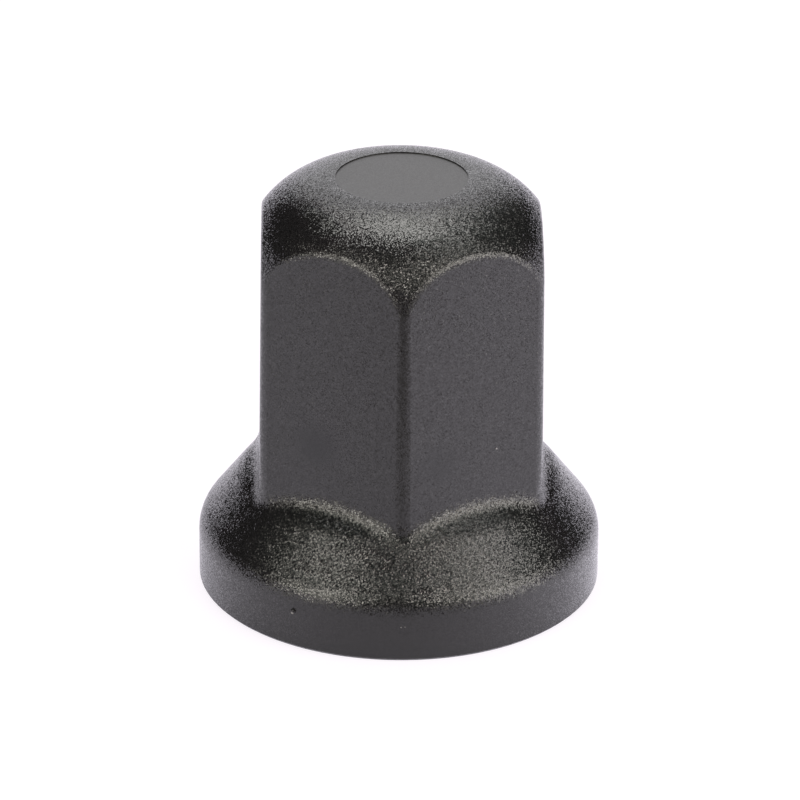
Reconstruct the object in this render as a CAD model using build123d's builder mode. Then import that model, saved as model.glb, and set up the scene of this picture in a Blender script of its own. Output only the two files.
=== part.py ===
from build123d import *

import os
from math import cos, radians, sin, tan

# Push-on cover cap for a truck wheel nut: a hollow hexagonal tower with a domed end,
# standing on a round flange, moulded in one piece. Millimetres and degrees.
# The origin is the centre of the rim plane, +Z points to the domed end,
# and one corner of the hexagon points to -Y.

# Nut that the cap covers, and the socket that grips it
nut_across_flats = 33.0
socket_clearance = 1.0
grip_interference = 0.1
rib_width = 1.4
rib_length = 22.0
rib_lead_in = 3.0
rib_root = 0.6

# Hexagonal tower
tower_wall = 2.3
tower_draft = 0.6
tower_corner_radius = 2.3
hex_sides = 6

# Domed end
cap_height = 59.9
dome_radius = 13.0
spring_overhang = 0.24
brow_edge_radius = 1.5
dome_wall = 2.4
vault_tilt = 45.0
disc_depth = 0.15

# Flange
flange_diameter = 56.3
flange_wall_height = 8.4
shoulder_radius = 4.7
flank_angle = 52.0
flange_top_height = 17.9
knee_length = 3.66
foot_radius = 3.3
flange_wall = 2.4
flange_ceiling = 3.0
rim_chamfer = 0.4

# Gate vestige, the stub that the mould's runner left on the flange wall
gate_angle = -121.9
gate_height = 5.6
gate_diameter = 0.75
gate_proud = 0.35
gate_chamfer = 0.15
gate_root = 0.5

# Sizes that follow from the ones above
socket_apothem = nut_across_flats / 2 + socket_clearance
tower_apothem = socket_apothem + tower_wall
half_side = 180 / hex_sides
tower_reach = (tower_apothem - tower_corner_radius) / cos(radians(half_side)) + tower_corner_radius
flange_radius = flange_diameter / 2

# Circle where the dome springs from the tower's corners, and the flat left in its crown
spring_radius = tower_reach - cap_height * tan(radians(tower_draft)) + spring_overhang
spring_height = cap_height - dome_radius
crown_flat = spring_radius - dome_radius
disc_height = cap_height - disc_depth

# Knuckle of the vault inside, on a circle one wall inside the dome
vault_radius = dome_radius - dome_wall
vault_knuckle = (
    crown_flat + vault_radius * sin(radians(vault_tilt)),
    spring_height + vault_radius * cos(radians(vault_tilt)),
)

# Corners of the flange's section, outside and one wall further in
flank = radians(flank_angle)
flange_top_radius = flange_radius - (flange_top_height - flange_wall_height) / tan(flank)
knee_start = (
    flange_top_radius + knee_length * cos(flank),
    flange_top_height - knee_length * sin(flank),
)
knee_end = (flange_top_radius - knee_length, flange_top_height)
room_radius = flange_radius - flange_wall
room_wall_height = flange_wall_height - flange_wall * tan((radians(90) - flank) / 2)
room_top_height = flange_top_height - flange_ceiling
room_top_radius = room_radius - (room_top_height - room_wall_height) / tan(flank)

# Grip ribs: they start at the mouth of the socket and reach a little less than half the nut
rib_tip = nut_across_flats / 2 - grip_interference
rib_back = socket_apothem + rib_root
rib_foot = room_top_height
rib_angles = [radians(2 * half_side * side) for side in range(hex_sides)]
rib_planes = [
    Plane((0, 0, 0), x_dir=(cos(angle), sin(angle), 0), z_dir=(sin(angle), -cos(angle), 0))
    for angle in rib_angles
]

# Gate vestige: where its stub stands on the flange wall, and the plane it grows from
gate = radians(gate_angle)
gate_seat = flange_radius - gate_root
gate_plane = Plane(
    (gate_seat * cos(gate), gate_seat * sin(gate), gate_height),
    x_dir=(0, 0, 1),
    z_dir=(cos(gate), sin(gate), 0),
)

# Hollow inside the cap: the socket with its vaulted end, and the wider room under the flange
with BuildPart() as hollow:
    with BuildSketch(Plane.XY) as socket_section:
        RegularPolygon(socket_apothem, hex_sides, major_radius=False, rotation=half_side)
    extrude(amount=cap_height, taper=tower_draft)
    with BuildSketch(Plane.XZ) as vault_section:
        with BuildLine() as vault_line:
            Polyline(
                (0, 0),
                (tower_reach + spring_overhang - dome_wall, 0),
                (spring_radius - dome_wall, spring_height),
                vault_knuckle,
                (crown_flat, cap_height - dome_wall),
                (0, cap_height - dome_wall),
                close=True,
            )
        make_face()
    revolve(axis=Axis.Z, mode=Mode.INTERSECT)
    with BuildSketch(Plane.XZ) as room_section:
        with BuildLine() as room_line:
            Polyline(
                (0, 0),
                (room_radius, 0),
                (room_radius, room_wall_height),
                (room_top_radius, room_top_height),
                (0, room_top_height),
                close=True,
            )
        make_face()
    revolve(axis=Axis.Z)

with BuildPart() as cap:
    # Tower with rounded corners, drawn in towards the top by the draft
    with BuildSketch(Plane.XY) as tower_section:
        RegularPolygon(tower_apothem, hex_sides, major_radius=False, rotation=half_side)
        fillet(tower_section.vertices(), tower_corner_radius)
    extrude(amount=cap_height, taper=tower_draft)

    # Domed end, turned about the axis: it leaves an arch at the top of each flat,
    # and a shallow round disc is sunk into its crown
    with BuildSketch(Plane.XZ) as dome_section:
        with BuildLine() as dome_line:
            dome_foot = Line((tower_reach + spring_overhang, 0), (spring_radius, spring_height))
            dome_arc = CenterArc((crown_flat, spring_height), dome_radius, 0, 90)
            Polyline(dome_arc @ 1, (crown_flat, disc_height), (0, disc_height), (0, 0), dome_foot @ 0)
        make_face()
    revolve(axis=Axis.Z, mode=Mode.INTERSECT)
    fillet(cap.edges().filter_by(GeomType.BSPLINE), brow_edge_radius)

    # Flange: rim wall, rounded shoulder, sloping flank, and a knee that the tower's foot stands on
    with BuildSketch(Plane.XZ) as flange_section:
        with BuildLine() as flange_line:
            FilletPolyline(
                (0, 0),
                (flange_radius - rim_chamfer, 0),
                (flange_radius, rim_chamfer),
                (flange_radius, flange_wall_height),
                knee_start,
                radius=[0, 0, shoulder_radius],
            )
            Bezier(knee_start, (flange_top_radius, flange_top_height), knee_end)
            Polyline(knee_end, (0, flange_top_height), (0, 0))
        make_face()
    revolve(axis=Axis.Z)
    foot_ring = cap.edges().filter_by_position(Axis.Z, flange_wall_height, flange_top_height)
    foot_edges = foot_ring.filter_by(lambda edge: edge.geom_type not in (GeomType.CIRCLE, GeomType.LINE))
    fillet(foot_edges, foot_radius)

    # Hollow inside, open at the rim
    add(hollow.part, mode=Mode.SUBTRACT)

    # Grip ribs down the middle of each flat of the socket, sloped at the mouth to lead the nut in
    with BuildSketch(*rib_planes) as rib_section:
        with BuildLine() as rib_line:
            Polyline(
                (rib_tip, rib_foot + rib_lead_in),
                (rib_tip, rib_foot + rib_length),
                (rib_back, rib_foot + rib_length + rib_lead_in),
                (rib_back, rib_foot),
                (socket_apothem, rib_foot),
                close=True,
            )
        make_face()
    extrude(amount=rib_width / 2, both=True)

    # Gate vestige on the flange wall, a short stub with a broken edge
    with BuildSketch(gate_plane) as gate_section:
        Circle(gate_diameter / 2)
    extrude(amount=gate_root + gate_proud)
    gate_tip = gate_plane.offset(gate_root + gate_proud).origin
    chamfer(cap.edges().filter_by(GeomType.CIRCLE).sort_by_distance(gate_tip)[0], gate_chamfer)

cap.part.label = "nut_cover_cap"
os.makedirs("parts", exist_ok=True)
export_step(cap.part, "parts/nut_cover_cap.step")
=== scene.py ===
from math import cos, pi, radians, sin

import bmesh
import bpy
from mathutils import Matrix, Vector


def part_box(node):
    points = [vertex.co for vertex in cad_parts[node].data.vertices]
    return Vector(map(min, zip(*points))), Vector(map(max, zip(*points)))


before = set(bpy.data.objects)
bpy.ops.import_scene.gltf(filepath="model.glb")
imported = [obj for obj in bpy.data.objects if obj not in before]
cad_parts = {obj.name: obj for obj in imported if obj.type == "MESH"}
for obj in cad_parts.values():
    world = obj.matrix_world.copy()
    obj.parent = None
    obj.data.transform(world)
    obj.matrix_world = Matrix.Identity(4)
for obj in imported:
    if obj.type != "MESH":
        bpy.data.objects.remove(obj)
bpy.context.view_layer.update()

scene = bpy.context.scene
scene.view_settings.view_transform = "Standard"
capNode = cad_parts["nut_cover_cap"]
capLow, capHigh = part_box("nut_cover_cap")
mm = 0.001
print("frame loaded", [round(size / mm, 2) for size in capHigh - capLow])


# Small helpers for node trees

def addNode(tree, kind, **settings):
    node = tree.nodes.new(kind)
    for name, value in settings.items():
        setattr(node, name, value)
    return node


def feed(tree, source, target):
    # a number or colour goes straight on the socket, anything else is a link
    if hasattr(source, "is_output"):
        tree.links.new(source, target)
    else:
        target.default_value = source


def calc(tree, operation, *terms):
    node = addNode(tree, "ShaderNodeMath", operation=operation)
    for socket, term in zip(node.inputs, terms):
        feed(tree, term, socket)
    return node.outputs[0]


def calcVector(tree, operation, *terms):
    node = addNode(tree, "ShaderNodeVectorMath", operation=operation)
    for socket, term in zip(node.inputs, terms):
        feed(tree, term, socket)
    return node


def mixColour(tree, share, first, second):
    # the Mix node has its colours on sockets 6 and 7, and puts them out on 2
    node = addNode(tree, "ShaderNodeMix", data_type="RGBA")
    feed(tree, share, node.inputs["Factor"])
    feed(tree, first, node.inputs[6])
    feed(tree, second, node.inputs[7])
    return node.outputs[2]


def mixShader(tree, share, first, second):
    node = addNode(tree, "ShaderNodeMixShader")
    feed(tree, share, node.inputs["Fac"])
    feed(tree, first, node.inputs[1])
    feed(tree, second, node.inputs[2])
    return node.outputs[0]


# Spark-eroded plastic

plasticLook = {
    "land": (0.017, 0.0163, 0.017, 1.0),        # colour of the lands between the craters
    "paintedPitShade": (0.002, 0.0019, 0.002, 1.0),         # painted shade: colour of the facets taken as crater floors, darker as if shaded
    "landRoughness": 0.10,
    "pitRoughness": 0.20,
    "specular": 0.75,
    "grain": 0.115 * mm,                        # width of one facet of the texture
    "tilt": 0.41,                               # how far the facets lean, as a slope
    "discRadius": 9.1 * mm,                     # the disc in the crown has a finer, duller finish
    "discHeight": 59.4 * mm,
    "discTilt": 0.12,
    "discRoughness": 0.34,
    "discColour": (0.034, 0.0335, 0.034, 1.0),
    "grease": (0.001, 0.001, 0.001, 1.0),       # colour of the plastic under a smudge
    "greaseFill": 0.8,                          # how much of the texture a smudge fills
    # pale colour of the dust specks, also used for the painted highlight on the gate stub
    "dustAndHighlight": (0.42, 0.41, 0.40, 1.0),
}

# greasy smudges on the flats: where in mm, how far they reach and how dark they are
smudges = [
    {"kind": "grease", "place": (-11.6, -15.9, 26.7), "reach": 5.0, "share": 1.0},
    {"kind": "grease", "place": (4.6, -19.6, 25.6), "reach": 4.5, "share": 0.6},
]

# specks of dust on a flat and on the rim, and a painted highlight on the end of the gate stub in the
# same pale colour
specks = [
    {"kind": "dustAndHighlight", "place": (12.95, -15.08, 25.97), "reach": 0.17, "share": 1.0},
    {"kind": "dustAndHighlight", "place": (-0.20, -28.15, 5.24), "reach": 0.14, "share": 0.6},
    {"kind": "dustAndHighlight", "place": (0.34, -28.15, 5.30), "reach": 0.12, "share": 0.4},
    # painted highlight on the tip face of the gate stub
    {"kind": "dustAndHighlight", "place": (-15.06, -24.20, 5.35), "reach": 0.34, "share": 1.0},
]


def makeSpot():
    # node group: 1 at a place, fading to 0 at its reach
    group = bpy.data.node_groups.new("spot", "ShaderNodeTree")
    group.interface.new_socket("Place", in_out="INPUT", socket_type="NodeSocketVector")
    group.interface.new_socket("Centre", in_out="INPUT", socket_type="NodeSocketVector")
    group.interface.new_socket("Reach", in_out="INPUT", socket_type="NodeSocketFloat")
    group.interface.new_socket("Mask", in_out="OUTPUT", socket_type="NodeSocketFloat")
    given = addNode(group, "NodeGroupInput")
    away = calcVector(group, "DISTANCE", given.outputs["Place"], given.outputs["Centre"])
    fade = addNode(group, "ShaderNodeMapRange", interpolation_type="SMOOTHSTEP")
    feed(group, away.outputs["Value"], fade.inputs["Value"])
    feed(group, given.outputs["Reach"], fade.inputs["From Max"])
    feed(group, 1.0, fade.inputs["To Min"])
    feed(group, 0.0, fade.inputs["To Max"])
    feed(group, fade.outputs[0], addNode(group, "NodeGroupOutput").inputs["Mask"])
    return group


def addSpot(tree, group, place, mark):
    spot = addNode(tree, "ShaderNodeGroup", node_tree=group)
    feed(tree, place, spot.inputs["Place"])
    feed(tree, [along * mm for along in mark["place"]], spot.inputs["Centre"])
    feed(tree, mark["reach"] * mm, spot.inputs["Reach"])
    return spot.outputs["Mask"]


def makePlastic(look):
    material = bpy.data.materials.new("spark_eroded_plastic")
    material.use_nodes = True
    tree = material.node_tree
    shader = tree.nodes["Principled BSDF"]
    shader.inputs["Specular IOR Level"].default_value = look["specular"]
    place = addNode(tree, "ShaderNodeTexCoord").outputs["Object"]
    spotGroup = makeSpot()

    # 1 on the disc in the crown
    axes = addNode(tree, "ShaderNodeSeparateXYZ")
    feed(tree, place, axes.inputs[0])
    square = calc(tree, "MULTIPLY_ADD", axes.outputs["X"], axes.outputs["X"],
                  calc(tree, "MULTIPLY", axes.outputs["Y"], axes.outputs["Y"]))
    inside = calc(tree, "LESS_THAN", square, look["discRadius"] ** 2)
    above = calc(tree, "GREATER_THAN", axes.outputs["Z"], look["discHeight"])
    disc = calc(tree, "MULTIPLY", inside, above)

    # how far the facets lean: less on the disc, and less where grease fills the texture
    tilt = calc(tree, "MULTIPLY_ADD", disc, look["discTilt"] - look["tilt"], look["tilt"])
    filled = 0.0
    for mark in smudges:
        spot = addSpot(tree, spotGroup, place, mark)
        filled = calc(tree, "MULTIPLY_ADD", spot, mark["share"] * look["greaseFill"], filled)
    tilt = calc(tree, "MULTIPLY", tilt, calc(tree, "SUBTRACT", 1.0, filled))

    # each cell is one small facet that leans its own way, by its own random colour
    facets = addNode(tree, "ShaderNodeTexVoronoi")
    feed(tree, place, facets.inputs["Vector"])
    feed(tree, 1 / look["grain"], facets.inputs["Scale"])
    middleGrey = (0.5, 0.5, 0.5)
    centred = calcVector(tree, "SUBTRACT", facets.outputs["Color"], middleGrey)
    lean = calcVector(tree, "SCALE", centred.outputs["Vector"])
    feed(tree, tilt, lean.inputs["Scale"])
    smooth = addNode(tree, "ShaderNodeNewGeometry").outputs["Normal"]
    leaning = calcVector(tree, "ADD", smooth, lean.outputs["Vector"])
    normal = calcVector(tree, "NORMALIZE", leaning.outputs["Vector"])
    feed(tree, normal.outputs["Vector"], shader.inputs["Normal"])

    # some facets are duller than others, and the disc is duller than any
    chances = addNode(tree, "ShaderNodeSeparateColor")
    feed(tree, facets.outputs["Color"], chances.inputs[0])
    chance = chances.outputs["Green"]
    matt = addNode(tree, "ShaderNodeMapRange")
    feed(tree, chance, matt.inputs["Value"])
    feed(tree, look["pitRoughness"], matt.inputs["To Min"])
    feed(tree, look["landRoughness"], matt.inputs["To Max"])
    discMatt = calc(tree, "MULTIPLY", disc, look["discRoughness"])
    feed(tree, calc(tree, "MAXIMUM", matt.outputs[0], discMatt), shader.inputs["Roughness"])

    # colour of the facets, then of the disc, then of the marks on them: smudges, dust and the painted
    # highlight
    # facets picked at random get the painted crater shade, the rest the land colour
    colour = mixColour(tree, chance, look["paintedPitShade"], look["land"])
    colour = mixColour(tree, disc, colour, look["discColour"])
    for mark in smudges + specks:
        spot = addSpot(tree, spotGroup, place, mark)
        share = calc(tree, "MULTIPLY", spot, mark["share"])
        colour = mixColour(tree, share, colour, look[mark["kind"]])
    feed(tree, colour, shader.inputs["Base Color"])
    return material


capNode.material_slots[0].material = makePlastic(plasticLook)
print("plastic on", capNode.name)


# Studio: a white floor, softboxes round the cap, and a dark room

floorLook = {
    "size": 6.0,
    "gap": 0.02 * mm,                     # it lies this far under the rim
    "colour": (0.86, 0.84, 0.88, 1.0),    # what it throws back on the cap
    "glow": (0.86, 0.83, 0.87, 1.0),      # share of the white that no shadow reaches
    "matt": (0.22, 0.21, 0.22, 1.0),      # share that takes the cap's shadow
    "mirrored": (0.86, 0.83, 0.93, 1.0),  # the glow as the plastic mirrors it
    # painted light and shade on the floor as the plastic mirrors it: the glow below is not even all
    # round
    "level": 1.08,                        # how bright that glow is all round,
    "paintedRightLight": 0.18,                    # how much brighter at the right than in the middle,
    "paintedFrontShade": 0.45,                     # and how much dimmer at the front
    "paintedDarkCentre": (0.0, -0.30, 0.0),     # painted dark zone: the mirrored glow is dark inside a circle in front of the cap
    "paintedDarkRadius": 0.22,
    "paintedDarkFade": 0.08,
}


def mirroredLevel(tree, look):
    # how bright the plastic mirrors a place on the floor, with painted light and shade: brighter at
    # the right, dimmer at the front, and dark in a circle in front
    place = addNode(tree, "ShaderNodeTexCoord").outputs["Object"]
    away = calcVector(tree, "DISTANCE", place, look["paintedDarkCentre"])
    light = addNode(tree, "ShaderNodeMapRange", interpolation_type="SMOOTHSTEP")
    feed(tree, away.outputs["Value"], light.inputs["Value"])
    feed(tree, look["paintedDarkRadius"] - look["paintedDarkFade"] / 2, light.inputs["From Min"])
    feed(tree, look["paintedDarkRadius"] + look["paintedDarkFade"] / 2, light.inputs["From Max"])
    bearing = calcVector(tree, "NORMALIZE", place)
    axes = addNode(tree, "ShaderNodeSeparateXYZ")
    feed(tree, bearing.outputs["Vector"], axes.inputs[0])
    front = calc(tree, "MINIMUM", axes.outputs["Y"], 0.0)
    level = calc(tree, "MULTIPLY_ADD", axes.outputs["X"], look["paintedRightLight"], look["level"])
    level = calc(tree, "MULTIPLY_ADD", calc(tree, "MULTIPLY", front, front), -look["paintedFrontShade"], level)
    return calc(tree, "MULTIPLY", light.outputs[0], level)


def makeFloorWhite(look):
    material = bpy.data.materials.new("floor_white")
    material.use_nodes = True
    tree = material.node_tree
    tree.nodes.remove(tree.nodes["Principled BSDF"])
    path = addNode(tree, "ShaderNodeLightPath")
    glossy = path.outputs["Is Glossy Ray"]

    # strength 1 for the camera, and the mirrored level for the plastic
    raised = calc(tree, "SUBTRACT", mirroredLevel(tree, look), 1.0)
    strength = calc(tree, "MULTIPLY_ADD", glossy, raised, 1.0)
    glow = addNode(tree, "ShaderNodeEmission")
    feed(tree, mixColour(tree, glossy, look["glow"], look["mirrored"]), glow.inputs["Color"])
    feed(tree, strength, glow.inputs["Strength"])

    shaded = addNode(tree, "ShaderNodeBsdfDiffuse")
    feed(tree, look["matt"], shaded.inputs["Color"])
    seen = addNode(tree, "ShaderNodeAddShader")
    feed(tree, shaded.outputs[0], seen.inputs[0])
    feed(tree, glow.outputs[0], seen.inputs[1])
    plain = addNode(tree, "ShaderNodeBsdfDiffuse")
    feed(tree, look["colour"], plain.inputs["Color"])
    direct = calc(tree, "MAXIMUM", path.outputs["Is Camera Ray"], glossy)
    direct = calc(tree, "MAXIMUM", direct, path.outputs["Is Transmission Ray"])
    fromAbove = mixShader(tree, direct, plain.outputs[0], seen.outputs[0])

    # from below it is clear, so that the cap's inside can be looked at
    below = addNode(tree, "ShaderNodeNewGeometry").outputs["Backfacing"]
    clear = addNode(tree, "ShaderNodeBsdfTransparent").outputs[0]
    oneWay = mixShader(tree, below, fromAbove, clear)
    feed(tree, oneWay, tree.nodes["Material Output"].inputs["Surface"])
    return material


def makeFloor(look):
    mesh = bpy.data.meshes.new("floor")
    shape = bmesh.new()
    bmesh.ops.create_grid(shape, x_segments=1, y_segments=1, size=look["size"] / 2)
    bmesh.ops.translate(shape, verts=shape.verts, vec=(0, 0, -look["gap"]))
    shape.to_mesh(mesh)
    shape.free()
    mesh.materials.append(makeFloorWhite(look))
    floor = bpy.data.objects.new("floor", mesh)
    scene.collection.objects.link(floor)


# azimuth 0 is behind the cap and 180 the camera's side, positive to the right;
# each box is a panel with a smaller hot square in its middle
softboxes = {
    "topBox": {"azimuth": 0, "elevation": 72, "distance": 1.0, "width": 0.78, "height": 0.58,
               "radiance": 3.8, "hotSize": 0.30, "hot": 2.0, "colour": (1.0, 0.99, 0.95)},
    "highRightBox": {"azimuth": 104, "elevation": 64, "distance": 1.1, "width": 0.50, "height": 0.34,
                     "radiance": 1.4, "hotSize": 0.24, "hot": 1.2, "colour": (1.0, 0.98, 0.93)},
    "leftBox": {"azimuth": -133, "elevation": 25, "distance": 1.1, "width": 1.00, "height": 0.96,
                "radiance": 1.5, "hotSize": 0.38, "hot": 5.2, "colour": (1.0, 0.96, 0.87)},
    "rightBox": {"azimuth": 143, "elevation": 27, "distance": 1.1, "width": 0.56, "height": 1.00,
                 "radiance": 1.4, "hotSize": 0.30, "hot": 5.4, "colour": (1.0, 0.95, 0.87)},
    "sideBox": {"azimuth": 109, "elevation": 18, "distance": 1.1, "width": 0.50, "height": 0.80,
                "radiance": 3.7, "hotSize": 0.28, "hot": 2.5, "colour": (1.0, 0.96, 0.91)},
    "frontRightFill": {"azimuth": 152, "elevation": 52, "distance": 1.1, "width": 0.36, "height": 0.20,
                       "radiance": 0.6, "hotSize": 0.10, "hot": 6.0, "colour": (1.0, 0.92, 0.86)},
    "frontFill": {"azimuth": -178, "elevation": 44, "distance": 1.1, "width": 0.30, "height": 0.30,
                  "radiance": 0.4, "hotSize": 0.07, "hot": 25.0, "colour": (1.0, 0.92, 0.85)},
    "backRightFill": {"azimuth": 45, "elevation": 34, "distance": 1.1, "width": 0.20, "height": 0.20,
                      "radiance": 0.5, "hotSize": 0.08, "hot": 4.0, "colour": (1.0, 0.97, 0.92)},
    "backBox": {"azimuth": 0, "elevation": 22, "distance": 1.3, "width": 0.92, "height": 1.05,
                "radiance": 1.11, "hotSize": 0.0, "hot": 0.0, "colour": (0.98, 0.97, 1.0)},
}
hotAhead = 0.02    # the hot square stands this far in front of its panel, so that both show


def direction(azimuth, elevation):
    turn, rise = radians(azimuth), radians(elevation)
    return Vector((sin(turn) * cos(rise), cos(turn) * cos(rise), sin(rise)))


def makeLamp(name, box, width, height, radiance, ahead=0.0):
    lamp = bpy.data.lights.new(name, "AREA")
    lamp.shape = "RECTANGLE"
    lamp.size, lamp.size_y = width, height
    lamp.color = box["colour"]
    lamp.energy = radiance * pi * width * height    # power at which it shows this radiance
    holder = bpy.data.objects.new(name, lamp)
    scene.collection.objects.link(holder)
    away = direction(box["azimuth"], box["elevation"])
    holder.location = Vector((0, 0, capHigh.z / 2)) + away * (box["distance"] - ahead)
    holder.rotation_euler = away.to_track_quat("Z", "Y").to_euler()


def makeSoftbox(name, box):
    makeLamp(name, box, box["width"], box["height"], box["radiance"])
    if box["hot"]:
        makeLamp(name + "Hot", box, box["hotSize"], box["hotSize"], box["hot"], ahead=hotAhead)


roomLook = {
    "dark": (0.02, 0.02, 0.02, 1.0),        # what lights the cap and what it mirrors
    "backdrop": (0.99, 0.98, 0.99, 1.0),    # what the camera sees beyond the floor
}


def makeRoom(look):
    world = bpy.data.worlds.new("room")
    scene.world = world
    world.use_nodes = True
    tree = world.node_tree
    path = addNode(tree, "ShaderNodeLightPath")
    direct = calc(tree, "MAXIMUM", path.outputs["Is Camera Ray"], path.outputs["Is Transmission Ray"])
    colour = mixColour(tree, direct, look["dark"], look["backdrop"])
    feed(tree, colour, tree.nodes["Background"].inputs["Color"])


makeFloor(floorLook)
for boxName, boxLook in softboxes.items():
    makeSoftbox(boxName, boxLook)
makeRoom(roomLook)
print("studio set", len(softboxes), "softboxes")


# Camera at the photograph's angle

cameraView = {
    "azimuth": -178.778,       # almost straight at the corner that points to it
    "elevation": 25.03,
    "distance": 0.7016,
    "aimHeight": 0.02629,
    "roll": 0.48,
    "lens": 226.4,
    "sensor": 36.0,
    "nearest": 0.01,
    "farthest": 50.0,
}


def makeCamera(view):
    camera = bpy.data.cameras.new("camera")
    camera.lens, camera.sensor_width = view["lens"], view["sensor"]
    camera.clip_start, camera.clip_end = view["nearest"], view["farthest"]
    holder = bpy.data.objects.new("camera", camera)
    scene.collection.objects.link(holder)
    away = direction(view["azimuth"], view["elevation"])
    place = Matrix.Translation(Vector((0, 0, view["aimHeight"])) + away * view["distance"])
    turn = away.to_track_quat("Z", "Y").to_matrix().to_4x4()
    holder.matrix_world = place @ turn @ Matrix.Rotation(radians(view["roll"]), 4, "Z")
    scene.camera = holder


makeCamera(cameraView)
print("camera set")
